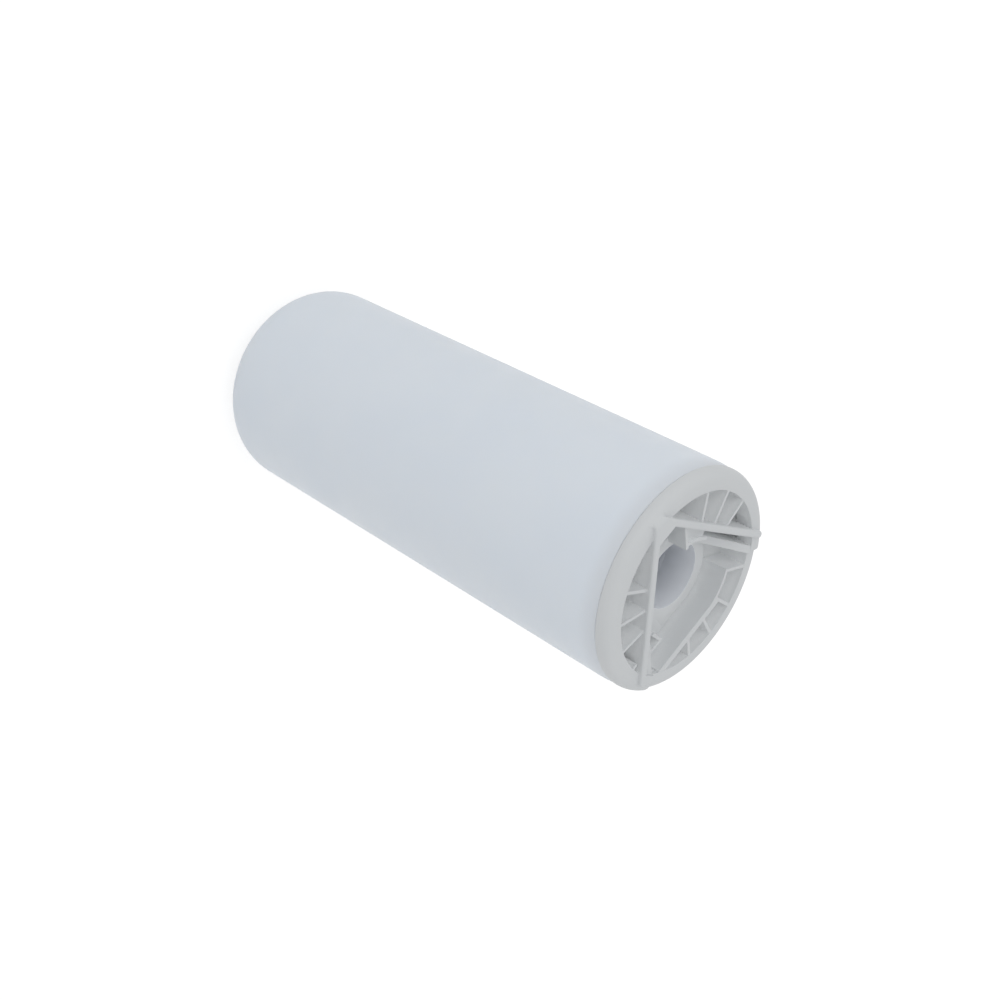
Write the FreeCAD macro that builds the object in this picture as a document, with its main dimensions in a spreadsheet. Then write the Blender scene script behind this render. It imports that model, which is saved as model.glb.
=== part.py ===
import FreeCAD, Part
import os
import Sketcher

# Nitrate removal cartridge: a sealed plastic canister of ion exchange resin that pushes into a
# filter head. It stands on its rounded closed end, with the ribbed connection end up. The origin
# is the centre of the foot, +Z is the canister's axis, and +X is the way the keyed opening between
# the two long key ribs faces. All sizes are millimetres and degrees.
SIZES = {
    # canister
    "body_dia": 89.0,
    "land_height": 231.2,
    "shell_wall": 3.0,
    "base_wall": 4.0,
    "base_round": 17.4,
    "base_inner_round": 14.4,
    "mouth_round": 1.4,
    # end cap: rim, skirt and floor
    "cap_step": 0.3,
    "cap_band": 5.4,
    "cap_round": 4.4,
    "seam_round": 0.7,
    "rim_wall": 4.85,
    "key_rim_drop": 1.5,
    "key_rim_angle": 112.0,
    "spigot_gap": 0.1,
    "spigot_depth": 26.6,
    "spigot_wall": 2.9,
    "pocket_depth": 13.0,
    "floor_wall": 3.0,
    # end cap: collar round the outlet bore
    "outlet_dia": 27.0,
    "collar_wall": 4.6,
    "collar_drop": 8.3,
    "collar_end_gap": 1.0,
    "tube_seat_depth": 9.0,
    # end cap: the two long key ribs
    "key_angle": 31.9,
    "key_offset": 22.4,
    "key_wall": 3.0,
    "key_proud": 1.6,
    "key_top_round": 0.9,
    "key_setback": 4.0,
    "key_ramp": 9.0,
    "key_nose_inset": 2.8,
    "apex_web": 9.2,
    # end cap: sloping arms, cross wall and curved wall
    "arm_offset": 15.6,
    "arm_wall": 3.0,
    "arm_drop": 1.6,
    "cross_offset": 24.2,
    "cross_wall": 2.9,
    "cross_reach": 9.8,
    "curved_radius": 24.9,
    "curved_end": 45.5,
    "key_pocket_drop": 1.6,
    # end cap: thin gussets and small keys
    "gusset_wall": 1.3,
    "gusset_pitch": 20.0,
    "gusset_drop": 0.1,
    "fence_radius": 18.5,
    "fence_wall": 1.3,
    "fence_start": 122.0,
    "fence_drop": 0.3,
    "corner_reach": 2.0,
    "web_reach": 17.8,
    "web_width": 14.7,
    "key_corner_x": 16.7,
    "key_corner_y": 17.6,
    "key_corner_drop": 4.5,
    "key_corner_lean": 15.0,
    "key_corner_reach": 7.5,
    "stub_reach": 2.2,
    # water inlets at the foot of the rim
    "inlet_dia": 3.6,
    "inlet_gap": 0.1,
    "inlet_drop": 7.0,
    # inner parts
    "tube_bore_dia": 26.0,
    "tube_wall": 2.5,
    "tube_gap": 0.1,
    "gasket_height": 1.5,
    "screen_gap": 0.2,
    "screen_wall": 3.0,
    "slot_width": 1.2,
    "slot_count": 24,
    "slot_inner": 20.0,
    "slot_margin": 3.8,
    "hub_wall": 2.5,
    "hub_height": 7.0,
    "hub_lip": 1.5,
    "plenum_height": 15.0,
    "leg_wall": 2.0,
    "leg_count": 6,
    "leg_inner": 17.0,
    "leg_outer": 26.0,
    "felt_height": 6.0,
    "bed_gap": 0.1,
}

doc = FreeCAD.newDocument("nitrate_cartridge")
sheet = doc.addObject("Spreadsheet::Sheet", "sizes")
for row, (alias, size) in enumerate(SIZES.items(), start=1):
    sheet.set(f"A{row}", alias)
    sheet.set(f"B{row}", str(size))
    sheet.setAlias(f"B{row}", alias)
doc.recompute()


def value(expression):
    """What an expression on the sheet's sizes comes to, as a plain number."""
    return float(sheet.evalExpression(expression))


# Levels and radii that several pieces share, worked out from the sheet.
SHELL_R = "sizes.body_dia / 2"
SHELL_IN_R = "(sizes.body_dia / 2 - sizes.shell_wall)"
SEAM_Z = "(sizes.land_height - sizes.cap_band)"
SPIGOT_R = "(sizes.body_dia / 2 - sizes.shell_wall - sizes.spigot_gap)"
CAP_R = "(sizes.body_dia / 2 - sizes.cap_step)"
RIM_R = f"({SPIGOT_R} - sizes.rim_wall)"
# The middle of the rim's flat land, where the walls that run into the rim end.
RIM_MID_R = f"(({RIM_R} + {CAP_R} - sizes.cap_round) / 2)"
BORE_R = "(sizes.outlet_dia / 2)"
COLLAR_R = "(sizes.outlet_dia / 2 + sizes.collar_wall)"
SCREEN_R = f"({SHELL_IN_R} - sizes.screen_gap)"
BED_R = f"({SHELL_IN_R} - sizes.bed_gap)"
# Heights in the cap's own frame, whose zero is the seam with the canister.
SPIGOT_END = "(-sizes.spigot_depth)"
FLOOR_TOP = "(sizes.cap_band - sizes.pocket_depth)"
FLOOR_END = "(sizes.cap_band - sizes.pocket_depth - sizes.floor_wall)"
COLLAR_TOP = "(sizes.cap_band - sizes.collar_drop)"
COLLAR_END = "(sizes.collar_end_gap - sizes.spigot_depth)"
KEY_POCKET_TOP = "(sizes.cap_band - sizes.key_pocket_drop)"
# The core tube and what it passes through.
TUBE_BORE_R = "(sizes.tube_bore_dia / 2)"
TUBE_R = "(sizes.tube_bore_dia / 2 + sizes.tube_wall)"
TUBE_HOLE_R = "(sizes.tube_bore_dia / 2 + sizes.tube_wall + sizes.tube_gap)"
SEAT_TOP = "(sizes.collar_end_gap - sizes.spigot_depth + sizes.tube_seat_depth)"
# Heights above the foot, from the base up and from the cap's spigot down.
LOWER_SCREEN_Z = "(sizes.base_wall + sizes.plenum_height)"
LOWER_FELT_Z = "(sizes.base_wall + sizes.plenum_height + sizes.screen_wall)"
BED_Z = "(sizes.base_wall + sizes.plenum_height + sizes.screen_wall + sizes.felt_height)"
SPIGOT_END_Z = "(sizes.land_height - sizes.cap_band - sizes.spigot_depth)"
UPPER_SCREEN_Z = f"({SPIGOT_END_Z} - sizes.screen_wall)"
UPPER_FELT_Z = f"({UPPER_SCREEN_Z} - sizes.felt_height)"
TUBE_FOOT_Z = f"({LOWER_SCREEN_Z} + sizes.hub_lip)"
TUBE_TOP_Z = f"({SEAM_Z} + {SEAT_TOP} - sizes.gasket_height)"


def new_body(label, height="0"):
    """An empty body, raised to its place on the canister's axis."""
    body = doc.addObject("PartDesign::Body", label)
    body.Label = label
    body.setExpression("Placement.Base.z", height)
    return body


def new_sketch(body, name, role, level="0", turn="0"):
    """A sketch on one of the body's own planes, moved off it by level and turned by an angle."""
    plane = next(item for item in body.Origin.OriginFeatures if item.Role == role)
    sketch = body.newObject("Sketcher::SketchObject", name)
    sketch.AttachmentSupport = [(plane, "")]
    sketch.MapMode = "FlatFace"
    sketch.setExpression("AttachmentOffset.Base.z", level)
    sketch.setExpression("AttachmentOffset.Rotation.Angle", turn)
    return sketch


def place(sketch, geometry, point, x, y, name):
    """Ties a point's x and y to the sheet, as distances from the sketch's centre. None leaves one free."""
    for kind, expression, axis in (("DistanceX", x, -2), ("DistanceY", y, -1)):
        if expression == "0":
            sketch.addConstraint(Sketcher.Constraint("PointOnObject", geometry, point, axis))
        elif expression is not None:
            rule = Sketcher.Constraint(kind, -1, 1, geometry, point, value(expression))
            sketch.renameConstraint(sketch.addConstraint(rule), f"{name}_{kind}")
            sketch.setExpression(f"Constraints.{name}_{kind}", expression)


def circles(sketch, radii, centre=("0", "0")):
    """Circles about one centre, one for each radius."""
    x, y = (value(part) for part in centre)
    for number, radius in enumerate(radii):
        circle = Part.Circle(FreeCAD.Vector(x, y, 0), FreeCAD.Vector(0, 0, 1), value(radius))
        at = sketch.addGeometry(circle, False)
        place(sketch, at, 3, *centre, f"centre{number}")
        index = sketch.addConstraint(Sketcher.Constraint("Radius", at, value(radius)))
        sketch.renameConstraint(index, f"radius{number}")
        sketch.setExpression(f"Constraints.radius{number}", radius)


def outline(sketch, corners):
    """A closed outline through corners (x, y, arc). Where arc is given, as (radius, centre x,
    centre y, turn), the stretch that leaves the corner is that arc, which runs counterclockwise
    for a turn of 1 and clockwise for -1. Elsewhere the stretch is straight."""
    spots = [FreeCAD.Vector(value(x), value(y), 0) for x, y, arc in corners]
    ends = []
    for number, (x, y, arc) in enumerate(corners):
        start = spots[number]
        end = spots[(number + 1) % len(spots)]
        if arc is None:
            at = sketch.addGeometry(Part.LineSegment(start, end), False)
            ends.append((at, 1, 2))
            continue
        radius, middle_x, middle_y = (value(part) for part in arc[:3])
        circle = Part.Circle(FreeCAD.Vector(middle_x, middle_y, 0), FreeCAD.Vector(0, 0, 1), radius)
        turn_ends = (start, end) if arc[3] > 0 else (end, start)
        first, last = (circle.parameter(spot) for spot in turn_ends)
        at = sketch.addGeometry(Part.ArcOfCircle(circle, first, last), False)
        ends.append((at, 1, 2) if arc[3] > 0 else (at, 2, 1))
        place(sketch, at, 3, arc[1], None, f"centre{number}")
    for number, (x, y, arc) in enumerate(corners):
        at, start, end = ends[number]
        before, before_start, before_end = ends[number - 1]
        sketch.addConstraint(Sketcher.Constraint("Coincident", before, before_end, at, start))
        place(sketch, at, start, x, y, f"corner{number}")


def rectangle(sketch, x_low, x_high, y_low, y_high):
    """A rectangle square to the sketch's axes."""
    outline(sketch, [(x_low, y_low, None), (x_high, y_low, None),
                     (x_high, y_high, None), (x_low, y_high, None)])


def extrude(body, kind, name, sketch, length, back=False):
    """A pad or pocket of a given length. The body must grow under a pad and shrink under a pocket."""
    doc.recompute()
    before = body.Shape.Volume if body.Tip and not body.Shape.isNull() else 0.0
    feature = body.newObject(kind, name)
    feature.Profile = sketch
    feature.setExpression("Length", length)
    feature.Reversed = back
    doc.recompute()
    grown = body.Shape.Volume - before
    if (grown > 0) != (kind == "PartDesign::Pad"):
        raise ValueError(f"{body.Label}: {name} changed the volume by {grown:.1f}")
    return feature


def pad(body, name, sketch, length, back=False):
    return extrude(body, "PartDesign::Pad", name, sketch, length, back)


def pocket(body, name, sketch, length, back=False):
    return extrude(body, "PartDesign::Pocket", name, sketch, length, back)


def wall(body, name, box, top, turn="0"):
    """An upright wall of the cap: a rectangle turned about the axis, from the floor up to its top."""
    sketch = new_sketch(body, f"{name}_plan", "XY_Plane", FLOOR_TOP, turn)
    rectangle(sketch, *box)
    return pad(body, name, sketch, f"{top} - {FLOOR_TOP}")


def curved_wall(body, name, inner, outer, start, sweep, top):
    """An upright wall that follows a circle about the axis, from a start angle on by a sweep."""
    sketch = new_sketch(body, f"{name}_plan", "XY_Plane", FLOOR_TOP, start)
    outline(sketch, [
        (inner, "0", None),
        (outer, "0", (outer, "0", "0", 1)),
        (f"{outer} * cos({sweep})", f"{outer} * sin({sweep})", None),
        (f"{inner} * cos({sweep})", f"{inner} * sin({sweep})", (inner, "0", "0", -1)),
    ])
    return pad(body, name, sketch, f"{top} - {FLOOR_TOP}")


def copies(body, kind, name, originals, **settings):
    """A pattern or mirror image of finished features."""
    feature = body.newObject(kind, name)
    feature.Originals = originals
    for key, setting in settings.items():
        setattr(feature, key, setting)
    body.Tip = feature
    doc.recompute()
    return feature


# Two places closer than this count as the same when an edge is looked up.
NEAR = 0.01


def plane_of(body, role):
    return next(item for item in body.Origin.OriginFeatures if item.Role == role)


def mirror(body, name, originals):
    """The same features on the other side of the XZ plane."""
    plane = (plane_of(body, "XZ_Plane"), [""])
    return copies(body, "PartDesign::Mirrored", name, originals, MirrorPlane=plane)


def slope_off(body, name, low, high, ceiling, depth):
    """Cuts off all that stands above a sloping line, between the axis and a depth beside it. The line runs
    along the key ribs' direction, from a low to a high point (distance along, height)."""
    sketch = new_sketch(body, f"{name}_side", "XZ_Plane")
    upright = FreeCAD.Rotation(FreeCAD.Vector(0, 1, 0), value("sizes.key_angle"))
    sketch.AttachmentOffset = FreeCAD.Placement(FreeCAD.Vector(), upright)
    sketch.setExpression("AttachmentOffset.Rotation.Angle", "sizes.key_angle")
    outline(sketch, [(*low, None), (*high, None), (high[0], ceiling, None), (low[0], ceiling, None)])
    return pocket(body, name, sketch, depth)


def round_edges(body, name, wanted, radius):
    """A fillet on the edges of the body's last feature that a test picks out."""
    base = body.Tip
    names = [f"Edge{i}" for i, edge in enumerate(base.Shape.Edges, start=1) if wanted(edge)]
    if not names:
        raise ValueError(f"{body.Label}: {name} found no edge")
    fillet = body.newObject("PartDesign::Fillet", name)
    fillet.Base = (base, names)
    fillet.setExpression("Radius", radius)
    doc.recompute()
    return fillet


def circle_edge(radius, height):
    """A test for an edge of a level circle about the axis, both sizes worked out on the sheet."""
    def wanted(edge):
        if not isinstance(edge.Curve, Part.Circle) or edge.BoundBox.ZLength > NEAR:
            return False
        at_height = abs(edge.Curve.Center.z - value(height)) < NEAR
        return at_height and abs(edge.Curve.Radius - value(radius)) < NEAR
    return wanted


def edge_at(height):
    """A test for an edge that lies flat at a height, worked out on the sheet."""
    def wanted(edge):
        box = edge.BoundBox
        return abs(box.ZMin - value(height)) < NEAR and abs(box.ZMax - value(height)) < NEAR
    return wanted


def make_body_shell():
    """The canister: one moulding, open at the top, with a rounded closed end to stand on."""
    body = new_body("body_shell")
    sketch = new_sketch(body, "canister_plan", "XY_Plane")
    circles(sketch, [SHELL_R])
    pad(body, "canister", sketch, SEAM_Z)
    sketch = new_sketch(body, "chamber_plan", "XY_Plane", "sizes.base_wall")
    circles(sketch, [SHELL_IN_R])
    pocket(body, "chamber", sketch, f"{SEAM_Z} - sizes.base_wall", back=True)
    round_edges(body, "chamber_round", circle_edge(SHELL_IN_R, "sizes.base_wall"), "sizes.base_inner_round")
    round_edges(body, "foot_round", circle_edge(SHELL_R, "0"), "sizes.base_round")
    round_edges(body, "mouth_round", circle_edge(SHELL_R, SEAM_Z), "sizes.mouth_round")
    return body


def rim_profile(sketch, side, drop):
    """The rim's section from its bore to the cap's outside, drawn on one side of the axis. Where the rim
    is lower by a drop, the rounding shrinks with it, so that the band under it stays the same."""
    sign = "-1 * " if side < 0 else ""
    top = f"(sizes.cap_band - {drop})"
    rounding = f"(sizes.cap_round - {drop})"
    outer = f"{sign}{CAP_R}"
    rounding_x = f"{sign}({CAP_R} - {rounding})"
    rounding_y = "sizes.cap_band - sizes.cap_round"
    outline(sketch, [
        (f"{sign}{RIM_R}", "0", None),
        (outer, "0", None),
        (outer, rounding_y, (rounding, rounding_x, rounding_y, side)),
        (rounding_x, top, None),
        (f"{sign}{RIM_R}", top, None),
    ])


def make_end_cap():
    """The ribbed connection end, one moulding. A spigot plugs into the canister and carries a floor,
    a rim, and on the floor the collar, key ribs, arms and gussets that the filter head meets."""
    body = new_body("end_cap", SEAM_Z)

    sketch = new_sketch(body, "floor_plan", "XY_Plane", FLOOR_END)
    circles(sketch, [SPIGOT_R])
    pad(body, "floor", sketch, "sizes.floor_wall")

    # The arms leave the collar on a tangent and climb to the rim, so each is a high wall whose top
    # is cut back along a slope.
    arm_in = "(sizes.arm_offset - sizes.arm_wall / 2)"
    arm_out = "(sizes.arm_offset + sizes.arm_wall / 2)"
    arm_end = f"sqrt({RIM_MID_R}^2 - {arm_out}^2)"
    arm_top = "(sizes.cap_band - sizes.arm_drop)"
    above = "(sizes.cap_band + sizes.key_proud)"
    arm = wall(body, "arm", ("0", arm_end, arm_in, arm_out), arm_top, "sizes.key_angle")
    slope = slope_off(body, "arm_slope", ("-1 * sizes.arm_wall", COLLAR_TOP), (arm_end, arm_top), above,
                      f"{arm_out} + sizes.arm_wall")
    mirror(body, "arm_pair", [arm, slope])

    # The spigot hangs from the floor, and the rim stands on it. Between the key ribs' ends the rim
    # is lower, so its full height is turned through the rest of the circle only.
    sketch = new_sketch(body, "spigot_plan", "XY_Plane", SPIGOT_END)
    circles(sketch, [SPIGOT_R, f"({SPIGOT_R} - sizes.spigot_wall)"])
    pad(body, "spigot", sketch, f"{FLOOR_END} - {SPIGOT_END}")
    sketch = new_sketch(body, "rim_foot_plan", "XY_Plane", FLOOR_TOP)
    circles(sketch, [SPIGOT_R, RIM_R])
    pad(body, "rim_foot", sketch, f"-1 * {FLOOR_TOP}")
    for name, side, drop, angle in (("low_rim", 1, "sizes.key_rim_drop", "360"),
                                    ("high_rim", -1, "0", "360 - sizes.key_rim_angle")):
        sketch = new_sketch(body, f"{name}_side", "XZ_Plane")
        rim_profile(sketch, side, drop)
        doc.recompute()
        rim = body.newObject("PartDesign::Revolution", name)
        rim.Profile = sketch
        rim.ReferenceAxis = (sketch, ["V_Axis"])
        rim.setExpression("Angle", angle)
        rim.Midplane = True
        doc.recompute()
    round_edges(body, "seam_round", circle_edge(CAP_R, "0"), "sizes.seam_round")

    # The collar stands round the outlet bore, above and below the floor.
    sketch = new_sketch(body, "collar_plan", "XY_Plane", COLLAR_END)
    circles(sketch, [COLLAR_R])
    pad(body, "collar", sketch, f"{COLLAR_TOP} - {COLLAR_END}")
    wall(body, "collar_web", ("0", "sizes.web_reach", "-1 * sizes.web_width", "0"), COLLAR_TOP)

    # Two long key ribs cross the face in a V and stand proud of the rim. A web fills their corner.
    key_in = "(sizes.key_offset - sizes.key_wall / 2)"
    key_out = "(sizes.key_offset + sizes.key_wall / 2)"
    apex = "(sizes.key_offset / sin(sizes.key_angle))"
    key_start = "(sizes.key_setback - sizes.key_offset / tan(sizes.key_angle))"
    nose = f"(sqrt(({CAP_R} - sizes.key_nose_inset)^2 - {key_out}^2) - sizes.key_wall / 2)"
    sketch = new_sketch(body, "key_rib_plan", "XY_Plane", FLOOR_TOP, "sizes.key_angle")
    outline(sketch, [
        (key_start, key_in, None),
        (nose, key_in, ("sizes.key_wall / 2", nose, "sizes.key_offset", 1)),
        (nose, key_out, None),
        (key_start, key_out, None),
    ])
    rib = pad(body, "key_rib", sketch, f"{above} - {FLOOR_TOP}")
    round_edges(body, "key_top_round", edge_at(above), "sizes.key_top_round")
    top_round = body.Tip
    ramp = slope_off(body, "key_ramp", (f"{key_start} - sizes.key_wall", "sizes.cap_band"),
                     (f"{key_start} + sizes.key_ramp", above), f"{above} + sizes.key_wall",
                     f"{key_out} + sizes.key_wall")
    mirror(body, "key_rib_pair", [rib, top_round, ramp])
    land_edge = f"({CAP_R} - sizes.cap_round)"
    narrow = f"(({apex} - {land_edge}) * tan(sizes.key_angle))"
    wide = "(sizes.apex_web * tan(sizes.key_angle))"
    sketch = new_sketch(body, "apex_plan", "XY_Plane", FLOOR_TOP)
    outline(sketch, [
        (f"-1 * {land_edge}", narrow, None),
        (f"-1 * {land_edge}", f"-1 * {narrow}", None),
        (f"sizes.apex_web - {apex}", f"-1 * {wide}", None),
        (f"sizes.apex_web - {apex}", wide, None),
    ])
    pad(body, "apex_filling", sketch, f"sizes.cap_band - {FLOOR_TOP}")

    # The cross wall closes the keyed side. Towards +Y it runs on as a thin curved wall, whose end
    # is tied back to the rim.
    half_gusset = "(sizes.gusset_wall / 2)"
    cross_out = "(sizes.cross_offset + sizes.cross_wall)"
    curved_out = "(sizes.curved_radius + sizes.gusset_wall)"
    curve_start = "(acos(min(1; sizes.cross_offset / sizes.curved_radius)) / 1 deg)"
    wall(body, "cross_wall", ("sizes.cross_offset", cross_out,
                              f"-1 * sqrt({RIM_MID_R}^2 - {cross_out}^2)",
                              "sizes.cross_reach"), KEY_POCKET_TOP)
    curved_wall(body, "curved_wall", "sizes.curved_radius", curved_out, curve_start,
                f"(sizes.curved_end - {curve_start})", KEY_POCKET_TOP)
    wall(body, "curved_wall_end", ("sizes.curved_radius", RIM_MID_R, f"-1 * {half_gusset}", half_gusset),
         KEY_POCKET_TOP, "sizes.curved_end")

    # Thin gussets tie the ribs to the rim on whole steps of the pitch round the axis.
    def gusset(name, step, inner, outer, top):
        box = (inner, outer, f"-1 * {half_gusset}", half_gusset)
        wall(body, name, box, top, f"{step} * sizes.gusset_pitch")

    gusset_top = "(sizes.cap_band - sizes.gusset_drop)"
    for number, step in enumerate((-7, -6, -5, 5, 6, 7)):
        lean = f"cos({abs(step)} * sizes.gusset_pitch - 90 - sizes.key_angle)"
        gusset(f"side_gusset_{number}", step, f"sizes.key_offset / {lean}", RIM_MID_R, gusset_top)
    gusset("stub", -4, f"{RIM_R} - sizes.stub_reach", RIM_MID_R, gusset_top)
    for number, step in enumerate((-1, 0, 1)):
        lean = f"cos({step} * sizes.gusset_pitch)"
        inner = f"(sizes.cross_offset + sizes.cross_wall / 2) / {lean}"
        gusset(f"keyed_gusset_{number}", step, inner, RIM_MID_R, KEY_POCKET_TOP)

    # On the +Y side a gusset reaches in over the collar, and a thin fence follows the collar from
    # there to the arm. On the -Y side two thin walls make a small corner beside the arm.
    corner_step = 8
    corner_turn = f"{corner_step} * sizes.gusset_pitch"
    lean = f"cos({corner_turn} - 90 - sizes.key_angle)"
    gusset("corner_gusset", corner_step, "sizes.fence_radius - sizes.corner_reach",
           f"sizes.key_offset / {lean}", gusset_top)
    curved_wall(body, "fence", "(sizes.fence_radius - sizes.fence_wall)", "sizes.fence_radius",
                "sizes.fence_start", f"({corner_turn} - sizes.fence_start)",
                "sizes.cap_band - sizes.fence_drop")
    corner_top = "(sizes.cap_band - sizes.key_corner_drop)"
    at_arm = f"(({arm_out} + sizes.key_corner_x * sin(sizes.key_angle)) / cos(sizes.key_angle))"
    wall(body, "corner_wall", ("sizes.key_corner_x - sizes.gusset_wall", "sizes.key_corner_x",
                               f"-1 * {at_arm}", "-1 * sizes.key_corner_y"), corner_top)
    turned_x = ("(sizes.key_corner_x * cos(sizes.key_corner_lean)"
                " - sizes.key_corner_y * sin(sizes.key_corner_lean))")
    turned_y = ("(-1 * sizes.key_corner_x * sin(sizes.key_corner_lean)"
                " - sizes.key_corner_y * cos(sizes.key_corner_lean))")
    box = (f"{turned_x} - sizes.key_corner_reach", f"{turned_x} - {half_gusset}",
           f"{turned_y} - sizes.gusset_wall", turned_y)
    wall(body, "corner_return", box, corner_top, "sizes.key_corner_lean")

    # Bores: the outlet right through, a wider seat for the core tube from below, and the inlets.
    sketch = new_sketch(body, "outlet_plan", "XY_Plane", COLLAR_END)
    circles(sketch, [BORE_R])
    pocket(body, "outlet_bore", sketch, f"{COLLAR_TOP} - {COLLAR_END}", back=True)
    sketch = new_sketch(body, "tube_seat_plan", "XY_Plane", COLLAR_END)
    circles(sketch, [TUBE_HOLE_R])
    pocket(body, "tube_seat", sketch, "sizes.tube_seat_depth", back=True)
    beside_arm = f"({arm_out} + {key_in}) / 2"
    beside_rib = f"({key_out} + sizes.inlet_dia / 2 + sizes.inlet_gap)"
    for number, offset in enumerate((beside_arm, beside_rib)):
        sketch = new_sketch(body, f"inlet_plan_{number}", "XY_Plane", "sizes.cap_band - sizes.inlet_drop",
                            "sizes.key_angle")
        circles(sketch, ["sizes.inlet_dia / 2"], (f"sqrt({RIM_R}^2 - ({offset})^2)", offset))
        hole = pocket(body, f"inlet_{number}", sketch, f"sizes.cap_band - sizes.inlet_drop - {FLOOR_END}")
        mirror(body, f"inlet_pair_{number}", [hole])
    return body


def ring_body(label, height, outer, inner, thickness):
    """A plain ring about the axis."""
    body = new_body(label, height)
    sketch = new_sketch(body, f"{label}_plan", "XY_Plane")
    circles(sketch, [outer, inner])
    pad(body, f"{label}_ring", sketch, thickness)
    return body


def add_slots(body, level):
    """Radial slots through a screen, evenly spaced round the axis."""
    sketch = new_sketch(body, f"{body.Label}_slot_plan", "XY_Plane", level)
    half_slot = "(sizes.slot_width / 2)"
    rectangle(sketch, "sizes.slot_inner", f"{SCREEN_R} - sizes.slot_margin", f"-1 * {half_slot}", half_slot)
    slot = pocket(body, f"{body.Label}_slot", sketch, "sizes.screen_wall")
    axis = (plane_of(body, "Z_Axis"), [""])
    pattern = copies(body, "PartDesign::PolarPattern", f"{body.Label}_slots", [slot], Axis=axis, Angle=360)
    pattern.setExpression("Occurrences", "sizes.slot_count")
    doc.recompute()


def make_lower_screen():
    """The slotted plate under the resin. Legs hold it off the base, and its hub seats the tube."""
    body = new_body("lower_screen", LOWER_SCREEN_Z)
    sketch = new_sketch(body, "lower_plate_plan", "XY_Plane")
    circles(sketch, [SCREEN_R])
    pad(body, "lower_plate", sketch, "sizes.screen_wall")
    sketch = new_sketch(body, "hub_plan", "XY_Plane")
    circles(sketch, [f"({TUBE_HOLE_R} + sizes.hub_wall)"])
    pad(body, "hub", sketch, "sizes.hub_height")
    sketch = new_sketch(body, "hub_seat_plan", "XY_Plane", "sizes.hub_lip")
    circles(sketch, [TUBE_HOLE_R])
    pocket(body, "hub_seat", sketch, "sizes.hub_height - sizes.hub_lip", back=True)
    sketch = new_sketch(body, "hub_hole_plan", "XY_Plane")
    circles(sketch, [f"({TUBE_BORE_R} - sizes.hub_lip)"])
    pocket(body, "hub_hole", sketch, "sizes.hub_lip", back=True)
    sketch = new_sketch(body, "leg_plan", "XY_Plane")
    rectangle(sketch, "sizes.leg_inner", "sizes.leg_outer", "-1 * sizes.leg_wall / 2", "sizes.leg_wall / 2")
    leg = pad(body, "leg", sketch, "sizes.plenum_height", back=True)
    axis = (plane_of(body, "Z_Axis"), [""])
    legs = copies(body, "PartDesign::PolarPattern", "legs", [leg], Axis=axis, Angle=360)
    legs.setExpression("Occurrences", "sizes.leg_count")
    doc.recompute()
    add_slots(body, "sizes.screen_wall")
    return body


def make_upper_screen():
    """The slotted plate that the cap's spigot holds down on the resin."""
    body = ring_body("upper_screen", UPPER_SCREEN_Z, SCREEN_R, TUBE_HOLE_R, "sizes.screen_wall")
    add_slots(body, "sizes.screen_wall")
    return body


parts = [
    make_body_shell(),
    make_end_cap(),
    ring_body("core_tube", TUBE_FOOT_Z, TUBE_R, TUBE_BORE_R, f"{TUBE_TOP_Z} - {TUBE_FOOT_Z}"),
    ring_body("tube_gasket", TUBE_TOP_Z, TUBE_R, TUBE_BORE_R, "sizes.gasket_height"),
    make_upper_screen(),
    ring_body("upper_felt", UPPER_FELT_Z, BED_R, TUBE_HOLE_R, "sizes.felt_height"),
    ring_body("resin_bed", BED_Z, BED_R, TUBE_HOLE_R, f"{UPPER_FELT_Z} - {BED_Z}"),
    ring_body("lower_felt", LOWER_FELT_Z, BED_R, f"({TUBE_HOLE_R} + sizes.hub_wall + sizes.tube_gap)",
              "sizes.felt_height"),
    make_lower_screen(),
]
doc.recompute()

for item in doc.Objects:
    if "Invalid" in item.State or "Error" in item.State:
        raise ValueError(f"{item.Label} failed: {item.State}")
for body in parts:
    if body.Shape.isNull() or not body.Shape.isValid():
        raise ValueError(f"{body.Label} has no valid solid")

os.makedirs("parts", exist_ok=True)
for body in parts:
    body.Shape.exportStep(f"parts/{body.Label}.step")
    box = body.Shape.BoundBox
    print(f"{body.Label}: {len(body.Shape.Solids)} solid, {body.Shape.Volume / 1000:.2f} cm3, "
          f"z {box.ZMin:.2f} to {box.ZMax:.2f}")
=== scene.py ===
# %% [markdown]
# # A nitrate removal cartridge
# The object is a push-in water cartridge: a long white plastic canister with a rounded closed end,
# and a ribbed connection end that plugs into a filter head. It stands on its rounded end. The
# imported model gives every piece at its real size, and this script gives the pieces their finish,
# finer surfaces where the eye comes close, the light and the camera.

import bmesh
import bpy
import numpy as np
from mathutils import Matrix, Vector


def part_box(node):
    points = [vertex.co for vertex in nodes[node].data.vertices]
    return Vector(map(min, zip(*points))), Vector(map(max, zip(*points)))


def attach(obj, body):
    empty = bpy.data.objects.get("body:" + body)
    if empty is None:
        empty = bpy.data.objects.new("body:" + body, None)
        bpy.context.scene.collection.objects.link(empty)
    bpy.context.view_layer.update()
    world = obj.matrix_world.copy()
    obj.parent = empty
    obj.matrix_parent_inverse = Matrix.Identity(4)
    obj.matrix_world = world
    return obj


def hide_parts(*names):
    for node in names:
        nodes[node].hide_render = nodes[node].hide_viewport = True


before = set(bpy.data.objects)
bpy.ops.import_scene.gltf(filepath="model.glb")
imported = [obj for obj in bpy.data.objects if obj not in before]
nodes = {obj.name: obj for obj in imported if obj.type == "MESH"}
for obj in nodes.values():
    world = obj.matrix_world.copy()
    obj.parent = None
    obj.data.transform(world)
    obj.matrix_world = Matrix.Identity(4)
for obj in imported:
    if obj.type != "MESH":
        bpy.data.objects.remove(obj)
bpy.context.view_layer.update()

scene = bpy.context.scene
print("pieces in the packed model:", ", ".join(sorted(nodes)))

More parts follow.
